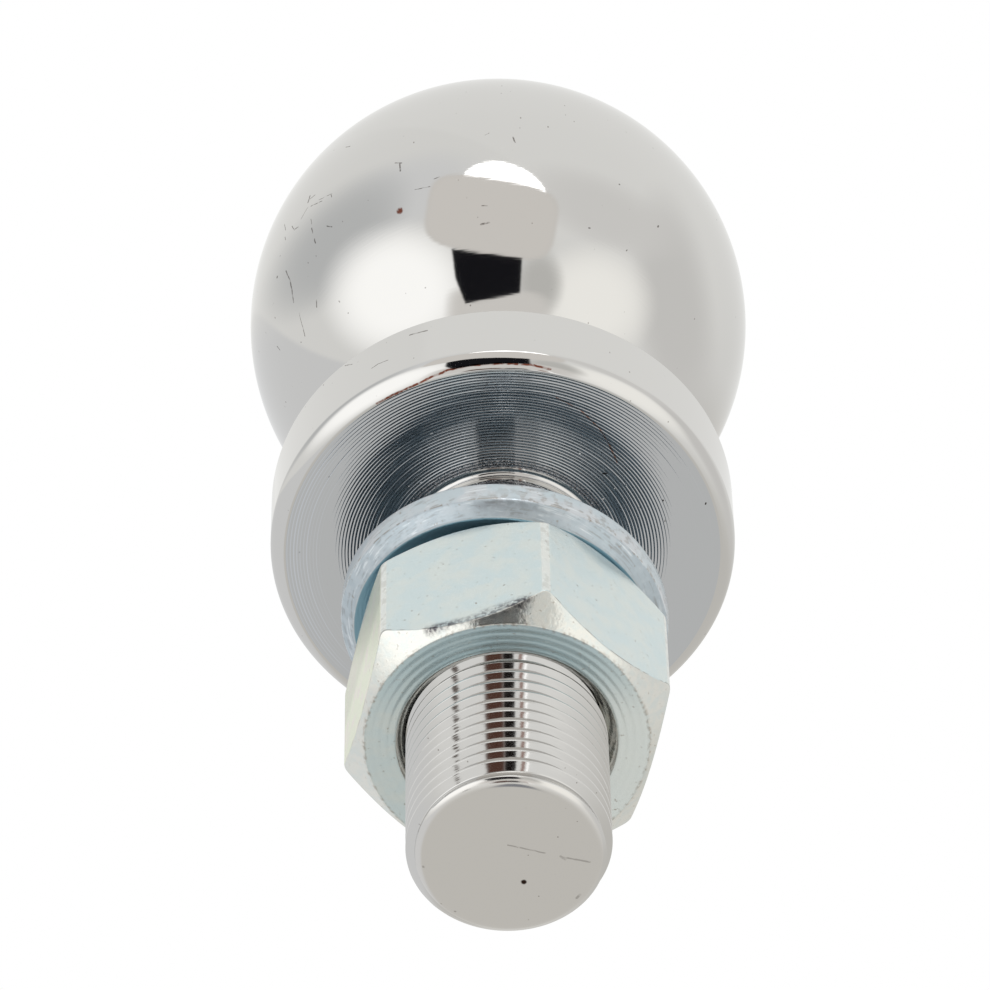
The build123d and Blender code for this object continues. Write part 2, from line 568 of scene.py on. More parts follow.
# A rust spot on the ball, and along the collar rim's lower edge a rust-brown line that is partly a painted dark
# reflection.
BALL_RUST_AND_DARK_REFLECTION = scratches((-9.61, -20.71, 31.32, -9.58, -20.66, 31.22, 0.42)) + chain((
    (21.38, -123.7, 0.05), (21.35, -120.0, 0.04), (21.35, -115.7, 0.04), (21.42, -111.7, 0.06), (21.62, -107.5, 0.15),
    (21.82, -103.0, 0.30), (21.88, -97.0, 0.35), (21.88, -89.0, 0.35), (21.86, -82.0, 0.33), (21.74, -77.0, 0.24),
), 0.14)
# Painted dark reflections on the nut's lower chamfer.
NUT_PAINTED_REFLECTION = (
    *chain(((14.25, -119.0, -31.0), (14.35, -107.0, -31.0), (14.45, -97.5, -30.9)), 0.95),
    *chain(((14.55, -97.5, -30.8), (14.95, -88.5, -30.4), (15.1, -83.0, -30.2)), 1.3),
)
# A painted dark reflection on the washer's outer chamfer.
WASHER_PAINTED_REFLECTION = chain((
    (15.25, -99.0, -14.30), (15.35, -92.0, -14.10), (15.35, -86.0, -14.00), (15.25, -78.0, -14.10),
), 0.8)
UNDERSIDE_MARKS = scratches(
    (9.83, -9.22, 0.00, 10.22, -9.33, 0.00, 0.14), (15.63, -6.08, 0.00, 15.66, -6.00, 0.00, 0.10),
    (15.82, -3.75, 0.00, 15.80, -3.60, 0.00, 0.10), (19.81, -5.63, 0.00, 19.78, -5.50, 0.00, 0.10),
    (13.40, -5.32, 0.00, 13.38, -5.22, 0.00, 0.09),
)
UNDERSIDE_STAINS = scratches(
    (5.40, -18.10, 0.00, 7.75, -16.60, 0.00, 0.07), (7.75, -16.60, 0.00, 9.58, -14.40, 0.00, 0.09),
    (9.58, -14.40, 0.00, 10.44, -12.66, 0.00, 0.09), (10.44, -12.66, 0.00, 11.20, -10.57, 0.00, 0.11),
)
END_MARKS = scratches(
    (-0.11, -1.31, -49.85, 3.27, -0.32, -49.85, 0.10), (4.82, 0.17, -49.85, 7.38, 0.79, -49.85, 0.12),
    (4.70, 0.10, -49.85, 5.10, 0.45, -49.85, 0.16), (-7.93, 0.99, -49.85, 0.20), (-5.10, 6.18, -49.85, 0.18),
    (6.15, 4.86, -49.85, 6.42, 4.52, -49.85, 0.18),
)
END_STAINS = scratches((1.30, 2.92, -49.85, 0.34))


# ---------------------------------------------------------------- finishes

@dataclass(frozen=True)
class ChromePlate:
    """Bright decorative chrome over polished steel.

    It is a clean warm grey mirror. Polishing on a wheel before plating leaves fine lines round the
    axis, which fray the edges of what it reflects, and handling leaves specks and hair scratches. The
    real lines lie less than 0.1 mm apart and wouldn't show, so they are drawn coarser.

    Attributes:
        name: The material's name.
        colour: What the metal reflects of white.
        roughness: How much a reflection is spread.
        line_mm: The spacing of the polishing lines along the axis.
        line_length_mm: How far a line runs round the axis.
        line_slope: How far the lines tip the surface.
        marks: Scratches and nicks in their places.
        mark: What a scratch reflects of white.
        mark_share: How dark the marks are.
        stains_and_shade: Rust in its places, and on the ball a painted dark reflection along the rim's lower edge.
        stain: What the rust reflects of white.
        speck: What the specks reflect of white.
        speck_mm: The spacing of fine specks.
        wear: How many specks show.
    """

    name: str = "bright chrome plate"
    colour: str = "d2d1cf"
    roughness: float = 0.045
    line_mm: float = 0.22
    line_length_mm: float = 3.0
    line_slope: float = 0.0022
    marks: tuple[Mark, ...] = ()
    mark: str = "5c5550"
    mark_share: float = 0.8
    stains_and_shade: tuple[Mark, ...] = ()
    stain: str = "7c4a3c"
    speck: str = "77706a"
    speck_mm: float = 0.9
    wear: Wear = Wear.HANDLED

    def dress(self) -> bpy.types.Material:
        """Build the material.

        Returns:
            The material.
        """
        material, tree, shader = metal(self.name, self.colour, self.roughness)
        place = add(tree, "ShaderNodeTexCoord").outputs["Object"]
        long = self.line_mm / self.line_length_mm
        drawn = vector(tree, "MULTIPLY", place, (long, long, 1.0))
        lines = noise(tree, drawn, self.line_mm, 2.0)
        bump = add(tree, "ShaderNodeBump", {"Strength": 1.0, "Distance": self.line_slope * MM, "Height": lines})
        tree.links.new(bump.outputs["Normal"], shader.inputs["Normal"])
        tall = vector(tree, "MULTIPLY", place, (1.0, 1.0, 0.5))
        specks = spots(tree, tall, self.speck_mm, 1.0 - 0.6 * self.wear.value, 1.0, 0.7)
        colour = blend(tree, specks, linear(self.colour), linear(self.speck))
        if self.marks:
            scratched = times(tree, marked(tree, place, self.marks), self.mark_share)
            colour = blend(tree, scratched, colour, linear(self.mark))
        if self.stains_and_shade:
            colour = blend(tree, marked(tree, place, self.stains_and_shade), colour, linear(self.stain))
        tree.links.new(colour, shader.inputs["Base Color"])
        return material


@dataclass(frozen=True)
class TurnedChrome:
    """Chrome over a face left as it came off the lathe.

    The feed of the tool leaves grooves about a third of a millimetre apart. Each groove is a small
    hollow mirror of its own, so that the face shows fine light and dark circles. Near the shank the
    tool tore the steel, which leaves a dark ring, and small pits glint on the rest.

    Attributes:
        name: The material's name.
        colour: What the metal reflects of white.
        torn: What the torn steel reflects of white.
        scar: What the scratches reflect of white.
        rust: What the rust reflects of white.
        roughness: How much a reflection is spread.
        feed_mm: The spacing of the grooves.
        slope: How steep a groove's sides are, where 1 is 45 degrees.
        quiet_band: From and up to where the tool was dull, in millimetres from the axis.
        quiet_depth: How deep the grooves are there, where 1 is full.
        quiet_blur_mm: The width of that band's edges.
        torn_radius: Up to where the steel is torn.
        glint_mm: The spacing of the small pits that glint.
        dish: How far the outer grooves lean out to the left and right.
        side_lean: How much steeper the grooves stand to the left and right, near the shank and at the rim.
        marks: Scratches and nicks in their places.
        stains_and_shade: Rust in its places.
    """

    name: str = "turned chrome face"
    colour: str = "c9ccd0"
    torn: str = "4c4a50"
    scar: str = "3c3430"
    rust: str = "a0684a"
    roughness: float = 0.07
    feed_mm: float = 0.32
    slope: float = 0.24
    quiet_band: tuple[float, float] = (15.6, 19.0)
    quiet_depth: float = 0.65
    quiet_blur_mm: float = 1.4
    torn_radius: float = 11.6
    glint_mm: float = 1.1
    dish: float = 0.24
    side_lean: tuple[float, float] = (1.0, 1.35)
    marks: tuple[Mark, ...] = ()
    stains_and_shade: tuple[Mark, ...] = ()

    def dress(self) -> bpy.types.Material:
        """Build the material.

        The surface tips outwards by slope * (2 * (share across the groove) - 1), plus a slow swell,
        the pits and, in the torn ring, a fine noise.

        Returns:
            The material.
        """
        material, tree, shader = metal(self.name, self.colour, self.roughness)
        place = add(tree, "ShaderNodeTexCoord").outputs["Object"]
        flat, radius = from_axis(tree, place)
        outward_way = vector(tree, "NORMALIZE", flat)
        feeds = number(tree, "MULTIPLY", radius, 1 / (self.feed_mm * MM))
        saw = number(tree, "MULTIPLY_ADD", number(tree, "FRACT", feeds), 2 * self.slope, -self.slope)
        blur = self.quiet_blur_mm * MM
        inner, outer = (edge * MM - blur / 2 for edge in self.quiet_band)
        depth = number(tree, "ADD", ramp(tree, radius, inner + blur, inner, 0.0, 1.0 - self.quiet_depth),
                       ramp(tree, radius, outer, outer + blur, self.quiet_depth, 1.0))
        swell = {"W": feeds, "Scale": 0.43, "Detail": 3.0}
        rings = add(tree, "ShaderNodeTexNoise", swell, noise_dimensions="1D").outputs["Fac"]
        tipped = times(tree, times(tree, saw, depth), ramp(tree, rings, 0.3, 0.7, 0.75, 1.25))
        grain = noise(tree, place, 0.16, 2.0)
        torn = ramp(tree, radius, self.torn_radius * MM, (self.torn_radius - 1.0) * MM)
        tipped = number(tree, "MULTIPLY_ADD", number(tree, "MULTIPLY_ADD", grain, 1.3, -0.65), torn, tipped)
        tipped = number(tree, "ADD", tipped, spots(tree, place, self.glint_mm, 0.80, 0.95, -0.5))
        tipped = number(tree, "ADD", tipped, number(tree, "MULTIPLY_ADD", rings, 0.08, -0.04))
        sideways = ramp(tree, radius, 12.0 * MM, 21.0 * MM, *self.side_lean)
        wide = add(tree, "ShaderNodeCombineXYZ", {0: sideways, 1: 0.95, 2: 1.0}).outputs[0]
        lean = vector(tree, "SCALE", vector(tree, "MULTIPLY", outward_way, wide), tipped)
        dish = add(tree, "ShaderNodeCombineXYZ", {0: ramp(tree, radius, 14.5 * MM, 20.0 * MM, 0.0, self.dish)})
        lean = vector(tree, "MULTIPLY_ADD", outward_way, dish.outputs[0], lean)
        turn = {"Vector": vector(tree, "ADD", lean, DOWN)}
        turn = add(tree, "ShaderNodeVectorTransform", turn, vector_type="NORMAL", convert_from="OBJECT",
                   convert_to="WORLD")
        tree.links.new(turn.outputs[0], shader.inputs["Normal"])
        dark = times(tree, torn, ramp(tree, grain, 0.62, 0.40, 0.0, 0.8))
        colour = blend(tree, dark, linear(self.colour), linear(self.torn))
        colour = blend(tree, marked(tree, place, self.marks), colour, linear(self.scar))
        colour = blend(tree, times(tree, marked(tree, place, self.stains_and_shade), 0.8), colour, linear(self.rust))
        tree.links.new(colour, shader.inputs["Base Color"])
        return material


@dataclass(frozen=True)
class ZincPlate:
    """Clear blue passivated zinc over steel.

    The plate is satin and pale, with a cold blue cast that turns to cream and straw where the
    passivate is thicker. Edges are worn to the steel. Painted shade darkens the faces turned up to the collar and the
    faces turned down to the nut, painted dark reflections lie on the chamfers, the nut's lower face takes painted
    reflections, one flat takes a painted shadow of the washer and the upright corners a painted highlight. The
    plate's real grain and the lines along a drawn bar are too fine to show, so both are drawn coarser.

    Attributes:
        name: The material's name.
        cold: What the thin passivate reflects of white.
        warm: What the thick passivate reflects of white.
        chamfer: The same on the chamfer.
        straw: The tints of the side that hung lowest in the bath (thin and thick), and a painted shadow of the washer
            near its top, or none.
        roughness: How much a reflection is spread.
        chamfer_roughness: The same on the chamfer, where the turning tool left it brighter and uneven.
        chamfer_grain: How much deeper the chamfer's grain is.
        drawn_mm: The spacing of the lines that drawing left along a coiled bar, or 0 for none.
        face_ring_mm: The spacing of turned rings on the lower face, or 0 for none.
        face_radius: The radius of the lower face, where its edge is worn to the steel.
        painted_reflections: Where dark reflections are painted on.
        dark_reflection: The colour of the painted reflection.
        reflection_share: How far that goes.
        first_flat: The direction that one of a hexagon's flats faces, in degrees from +X, or None.
        painted_shade: Whether painted shade darkens the faces above and below, where they lie on others.
        stains_and_shade: The colours of the painted shade on the face above and on the one below.
        lines: The same for the dark and the bright lines along a drawn bar.
        speck: The same for the specks.
        wear: How many specks show.
    """

    name: str = "clear blue zinc plate"
    cold: str = "cedbdd"
    warm: str = "d5dddb"
    chamfer: str = "e2e2dc"
    straw: tuple[str, ...] = ()
    roughness: float = 0.24
    chamfer_roughness: float = 0.14
    chamfer_grain: float = 2.2
    drawn_mm: float = 0.0
    face_ring_mm: float = 0.0
    face_radius: float = 0.0
    painted_reflections: tuple[Mark, ...] = ()
    dark_reflection: str = "2f2a38"
    reflection_share: float = 1.0
    first_flat: float | None = None
    painted_shade: bool = False
    stains_and_shade: tuple[str, str] = ("6c808c", "7fa3b4")
    lines: tuple[str, str] = ("8d8c8a", "e6ecef")
    speck: str = "95897a"
    wear: Wear = Wear.SCUFFED

    def dress(self) -> bpy.types.Material:
        """Build the material.

        Returns:
            The material.
        """
        material, tree, shader = metal(self.name, self.cold, self.roughness)
        shader.inputs["Metallic"].default_value = 0.85
        coordinates = add(tree, "ShaderNodeTexCoord")
        place, normal = coordinates.outputs["Object"], coordinates.outputs["Normal"]
        dip = vector(tree, "DOT_PRODUCT", normal, DOWN)
        grains = ((2.2, 4.0), (0.9, 3.0), (0.45, 4.0))
        blotch, patch, grain = (noise(tree, place, spacing, detail) for spacing, detail in grains)
        chamfer = times(tree, ramp(tree, dip, 0.30, 0.50), ramp(tree, dip, 0.95, 0.85))
        colour = blend(tree, ramp(tree, blotch, 0.35, 0.65), linear(self.cold), linear(self.warm))
        if self.straw:
            colour = self.straw_side_and_painted_shadow(tree, place, normal, blotch, colour)
        cut = times(tree, chamfer, ramp(tree, patch, 0.35, 0.6, 0.6, 1.0))
        colour = blend(tree, cut, colour, linear(self.chamfer))
        edge = times(tree, ramp(tree, dip, 0.06, 0.18), ramp(tree, dip, 0.42, 0.30))
        if self.first_flat is not None:
            corner = self.corners(tree, normal, dip)
            # Painted highlight on the hexagon's upright corners, mixed with pale wear.
            colour = blend(tree, times(tree, corner, 0.6), colour, linear(PALE_WEAR_AND_HIGHLIGHT))
            edge = number(tree, "MAXIMUM", edge, times(tree, corner, 0.28))
        colour = blend(tree, times(tree, edge, ramp(tree, patch, 0.48, 0.60, 0.0, 0.6)), colour, linear(BARE_STEEL))
        height = times(tree, grain, ramp(tree, chamfer, 0.0, 1.0, 1.0, self.chamfer_grain))
        if self.drawn_mm:
            lines = self.drawn_lines(tree, place)
            height = number(tree, "MULTIPLY_ADD", lines, 2.5, height)
            streak = times(tree, ramp(tree, lines, 0.52, 0.66), ramp(tree, patch, 0.40, 0.60, 0.0, 0.45))
            shine = times(tree, ramp(tree, lines, 0.44, 0.34), ramp(tree, blotch, 0.45, 0.60, 0.0, 0.6))
            dark, bright = (linear(code) for code in self.lines)
            colour = blend(tree, shine, blend(tree, streak, colour, dark), bright)
        if self.face_ring_mm:
            colour, height = self.turned_face_and_painted_reflection(tree, place, dip, grain, colour, height)
        specks = ramp(tree, grain, 0.72 - 0.08 * self.wear.value, 0.77, 0.0, 0.6)
        colour = blend(tree, specks, colour, linear(self.speck))
        # Painted dark reflections, drawn as marks on the chamfers.
        if self.painted_reflections:
            reflection_mask = marked(tree, place, self.painted_reflections, 1.0)
            reflection_mask = times(tree, reflection_mask, ramp(tree, grain, 0.66, 0.42, 0.35, self.reflection_share))
            colour = blend(tree, reflection_mask, colour, linear(self.dark_reflection))
        # Painted shade: faces turned up to the collar and faces turned down to the nut are darkened to blue-grey.
        if self.painted_shade:
            above, below = (linear(code) for code in self.stains_and_shade)
            colour = blend(tree, ramp(tree, dip, -0.3, -0.8, 0.0, 0.85), colour, above)
            colour = blend(tree, ramp(tree, dip, 0.93, 0.99), colour, below)
        spread = ramp(tree, chamfer, 0.0, 1.0, self.roughness, self.chamfer_roughness)
        tree.links.new(spread, shader.inputs["Roughness"])
        tree.links.new(colour, shader.inputs["Base Color"])
        bump = add(tree, "ShaderNodeBump", {"Strength": 1.0, "Distance": 0.010 * MM, "Height": height})
        tree.links.new(bump.outputs["Normal"], shader.inputs["Normal"])
        return material

    def straw_side_and_painted_shadow(self, tree: Tree, place: Socket, normal: Socket, blotch: Socket, colour: Socket) -> Socket:
        """Tint the flat that hung lowest in the bath, which faces left, and paint the washer's shadow on its upper
        part.

        Args:
            tree: The node tree.
            place: The place in the object's own coordinates.
            normal: The surface's direction.
            blotch: The noise that sets the passivate's thickness.
            colour: The colour so far.

        Returns:
            The colour with the tint.
        """
        thin, thick, top = (linear(code) for code in self.straw)
        film = blend(tree, ramp(tree, blotch, 0.45, 0.65), thin, thick)
        level = add(tree, "ShaderNodeSeparateXYZ", {0: place}).outputs[2]
        # Painted shadow of the washer across the upper part of the flat.
        film = blend(tree, ramp(tree, level, -24.6 * MM, -22.0 * MM, 0.0, 0.55), film, top)
        side = vector(tree, "DOT_PRODUCT", normal, (-1.0, 0.0, 0.0))
        return blend(tree, ramp(tree, side, 0.80, 0.95, 0.0, 0.85), colour, film)

    def corners(self, tree: Tree, normal: Socket, dip: Socket) -> Socket:
        """Find the hexagon's upright corners, where the cosine of six times the angle from a flat falls.

        Args:
            tree: The node tree.
            normal: The surface's direction.
            dip: How far it faces down.

        Returns:
            A number that is 1 on the corners and 0 on the flats.
        """
        compass = add(tree, "ShaderNodeSeparateXYZ", {0: normal})
        angle = number(tree, "ARCTAN2", compass.outputs[1], compass.outputs[0])
        across = number(tree, "COSINE", number(tree, "MULTIPLY_ADD", angle, 6.0, -math.radians(6 * self.first_flat)))
        return times(tree, ramp(tree, across, 0.97, 0.3), ramp(tree, dip, 0.25, 0.10))

    def drawn_lines(self, tree: Tree, place: Socket) -> Socket:
        """Draw noise that is fine across the bar and long along it.

        Args:
            tree: The node tree.
            place: The place in the object's own coordinates.

        Returns:
            The noise.
        """
        _, radius = from_axis(tree, place)
        level = add(tree, "ShaderNodeSeparateXYZ", {0: place}).outputs[2]
        fast = add(tree, "ShaderNodeCombineXYZ", {0: radius, 1: radius, 2: level}).outputs[0]
        return noise(tree, vector(tree, "ADD", vector(tree, "SCALE", place, 0.12), fast), self.drawn_mm, 2.0)

    def turned_face_and_painted_reflection(self, tree: Tree, place: Socket, dip: Socket, grain: Socket, colour: Socket,
                    height: Socket) -> tuple[Socket, Socket]:
        """Turn rings on the lower face, paint reflections on it (paler to the right, blue-grey on the near side) and
        wear its edge.

        Args:
            tree: The node tree.
            place: The place in the object's own coordinates.
            dip: How far the surface faces down.
            grain: The fine noise.
            colour: The colour so far.
            height: The relief so far.

        Returns:
            The colour and the relief with the face.
        """
        _, radius = from_axis(tree, place)
        face = ramp(tree, dip, 0.9, 0.98)
        wave = number(tree, "SINE", times(tree, radius, FULL_TURN / (self.face_ring_mm * MM)))
        height = number(tree, "MULTIPLY_ADD", times(tree, wave, face), 1.6, height)
        # Painted reflections on the lower face: a paler one towards +X and a blue-grey one on the side towards -Y.
        for way, low, high, share, tint in (
            (TO_THE_RIGHT, 2.0, 11.0, 0.8, "eaf0ee"),
            ((0.0, -1.0, 0.0), 2.0, 10.0, 0.7, "b4cbd2"),
        ):
            near = ramp(tree, vector(tree, "DOT_PRODUCT", place, way), low * MM, high * MM, 0.0, share)
            colour = blend(tree, times(tree, face, near), colour, linear(tint))
        away = number(tree, "ABSOLUTE", number(tree, "SUBTRACT", radius, self.face_radius * MM))
        bare = times(tree, ramp(tree, away, 0.28 * MM, 0.06 * MM), ramp(tree, grain, 0.45, 0.62, 0.05, 0.5))
        return blend(tree, times(tree, bare, ramp(tree, dip, 0.3, 0.6)), colour, linear(BARE_RIM)), height


# ---------------------------------------------------------------- the tow ball's pieces

class Slot(IntEnum):
    """The material slots of the forging."""

    POLISHED = 0
    TURNED = 1
    THREAD = 2
    END = 3


@dataclass
class TowBall:
    """Ball, neck, collar and threaded shank: one forging, turned, threaded and chromed.

    Attributes are the radii, heights and edge breaks of its outline, in millimetres.
    """

    ball_radius: float = 25.4
    ball_centre: float = 42.45
    crown_radius: float = 8.0
    crown_edge: float = 0.05
    neck_radius: float = 13.5
    neck_to_ball: float = 1.5
    neck_to_collar: float = 5.0
    collar_radius: float = 22.7
    collar_height: float = 8.85
    collar_top_break: float = 0.35
    shank_radius: float = 9.525
    shank_length: float = 49.85
    root_break: float = 0.7
    root_round: float = 0.55
    end_break: float = 1.35
    end_round: float = 1.35
    end_blend: float = 0.04
    thread_top: float = -8.6
    run_out: float = 2.6
    columns: int = 184
    ball_rows: int = 72
    rim_arcs: tuple[tuple[float, float], ...] = (
        (58.0, 0.5), (51.2, 3.87), (40.6, 3.52), (22.9, 1.9), (15.6, 0.7), (0.0, 1.0))
    thread: ThreadForm = field(default_factory=ThreadForm)

    def angles(self) -> Array:
        """Give the columns' angles, with the last on the first."""
        return np.linspace(0.0, FULL_TURN, self.columns + 1)

    def end_sheet(self, top: float) -> Sheet:
        """Make the sawn end and the lower part of its break, which is worn round.

        Args:
            top: The height at which the thread takes over.

        Returns:
            The surface.
        """
        bottom, inner = -self.shank_length, self.shank_radius - self.end_break
        corners = [(0.0, bottom), (inner, bottom), (inner + top - bottom, top)]
        rows, ways = soften(np.array(corners)[:, None, :], [self.end_round], 8)
        rows, ways = divide(rows, ways, 1.6)
        return turned(rows, ways, self.angles(), Slot.END)

    def thread_sheet(self, low: float) -> Sheet:
        """Make the thread between the end break and the plain shank.

        The ridge fades into the shank over the run-out by a smoothstep of height, and it never stands
        out past the end break's cone, whose radius grows one for one with height.

        Args:
            low: The height at which the thread begins.

        Returns:
            The surface.
        """
        angles = self.angles()
        radius, height, way = self.thread.wind(low, self.thread_top, angles)
        depth = smoothstep(self.thread_top, self.thread_top - self.run_out, height)
        radius = self.shank_radius - (self.shank_radius - radius) * depth
        way = way * np.stack([depth, np.ones_like(depth)], axis=-1)
        cone = self.shank_radius - self.end_break + (height + self.shank_length)
        cut = smoothstep(-self.end_blend, self.end_blend, radius - cone)[..., None]
        way = way * (1 - cut) + cut * np.array([1.0, 1.0]) / math.sqrt(2.0)
        return wound(np.minimum(radius, cone), height, way, angles, self.thread.pitch, Slot.THREAD)

    def collar_sheets(self) -> list[Sheet]:
        """Make the plain shank, the collar's turned underside, its crowned rim, its wall and its top.

        Returns:
            The surfaces.
        """
        rim, rim_ways = self.rim()
        seat = (self.shank_radius + self.root_break, 0.0)
        shank = [(self.shank_radius, self.thread_top), (self.shank_radius, 0.0), seat]
        under = [seat, (float(rim[0, 0, 0]), 0.0)]
        wall = [
            tuple(rim[-1, 0]),
            (self.collar_radius, self.collar_height),
            (self.neck_radius, self.collar_height),
            (self.neck_radius, self.waist_top()),
        ]
        sheets = [turned(rim, rim_ways, self.angles(), Slot.POLISHED)]
        for corners, radii, longest, slot in (
            (shank, [self.root_round], 2.0, Slot.POLISHED),
            (under, [], 0.8, Slot.TURNED),
            (wall, [self.collar_top_break, self.neck_to_collar], 1.5, Slot.POLISHED),
        ):
            rows, ways = soften(np.array(corners, dtype=float)[:, None, :], radii, 7)
            rows, ways = divide(rows, ways, longest)
            sheets.append(turned(rows, ways, self.angles(), slot))
        return sheets

    def rim(self) -> tuple[Array, Array]:
        """Walk along the collar's lower rim, from the underside out and up to the wall.

        The rim is a run of arcs, each given by the dip of its end and by its radius. The dip is the
        angle of the surface's normal below the horizon: 90 degrees on the underside and 0 on the wall.
        A step moves outwards by radius * (change of cos dip) and upwards by radius * (change of sin dip).

        Returns:
            Points as radius and height, and the directions along them.
        """
        dips, radii = [90.0], []
        for end, radius in self.rim_arcs:
            dips += list(np.linspace(dips[-1], end, 6)[1:])
            radii += [radius] * 5
        dip = np.radians(dips)
        step = np.stack([np.diff(np.cos(dip)), -np.diff(np.sin(dip))], axis=-1) * np.array(radii)[:, None]
        walk = np.concatenate([[[0.0, 0.0]], np.cumsum(step, axis=0)])
        walk[:, 0] += self.collar_radius - walk[-1, 0]
        return walk[:, None, :], np.stack([np.sin(dip), np.cos(dip)], axis=-1)[:, None, :]

    def waist_top(self) -> float:
        """Find the height at which the fillet under the ball begins."""
        reach = self.ball_radius + self.neck_to_ball
        return self.ball_centre - math.sqrt(reach ** 2 - (self.neck_radius + self.neck_to_ball) ** 2)

    def ball_sheet(self) -> Sheet:
        """Make the fillet under the ball, the ball and the small flat on its crown.

        The fillet is an arc about (neck radius + fillet, waist top), and the ball one about its centre.
        Both meet on the line between the two centres. The crown's edge is a short slope.

        Returns:
            The surface.
        """
        fillet = self.neck_to_ball
        meet = math.asin((self.neck_radius + fillet) / (self.ball_radius + fillet))
        swing = np.linspace(math.pi, math.pi / 2 + meet, 9)
        hollow_x = self.neck_radius + fillet + fillet * np.cos(swing)
        hollow_z = self.waist_top() + fillet * np.sin(swing)
        hollow = np.stack([hollow_x, hollow_z], axis=-1)
        hollow_way = np.stack([np.sin(swing), -np.cos(swing)], axis=-1)
        top = math.acos(self.crown_radius / self.ball_radius)
        climb = np.linspace(meet - math.pi / 2, top, self.ball_rows)
        ball = np.stack([np.cos(climb), np.sin(climb)], axis=-1) * self.ball_radius + [0.0, self.ball_centre]
        ball_way = np.stack([-np.sin(climb), np.cos(climb)], axis=-1)
        flat_x = np.linspace(self.crown_radius - self.crown_edge, 0.0, 5)
        flat = np.stack([flat_x, np.full_like(flat_x, ball[-1, 1])], axis=-1)
        flat_way = np.tile([-1.0, 0.0], (len(flat), 1))
        rows = np.concatenate([hollow, ball[1:], flat])[:, None, :]
        ways = np.concatenate([hollow_way, ball_way[1:], flat_way])[:, None, :]
        return turned(rows, ways, self.angles(), Slot.POLISHED)

    def build(self) -> bpy.types.Object:
        """Build the forging and dress it.

        Returns:
            The piece.
        """
        thread_depth = self.shank_radius - self.thread.root_radius
        low = -self.shank_length + self.end_break - thread_depth - self.end_blend
        sheets = [self.end_sheet(low), self.thread_sheet(low), *self.collar_sheets(), self.ball_sheet()]
        piece = stitch("chromed_tow_ball", sheets, exact=True)
        finishes = (
            ChromePlate(marks=BALL_MARKS, stains_and_shade=BALL_RUST_AND_DARK_REFLECTION),
            TurnedChrome(marks=UNDERSIDE_MARKS, stains_and_shade=UNDERSIDE_STAINS),
            ChromePlate(name="chromed thread", roughness=0.07, line_slope=0.006),
            ChromePlate(name="chromed sawn end", colour="d6d4d1", roughness=0.13, marks=END_MARKS, stains_and_shade=END_STAINS,
                        stain="2e1f19", mark_share=0.40),
        )
        for finish in finishes:
            piece.data.materials.append(finish.dress())
        return place_piece(piece, "tow_ball", "tow_ball")


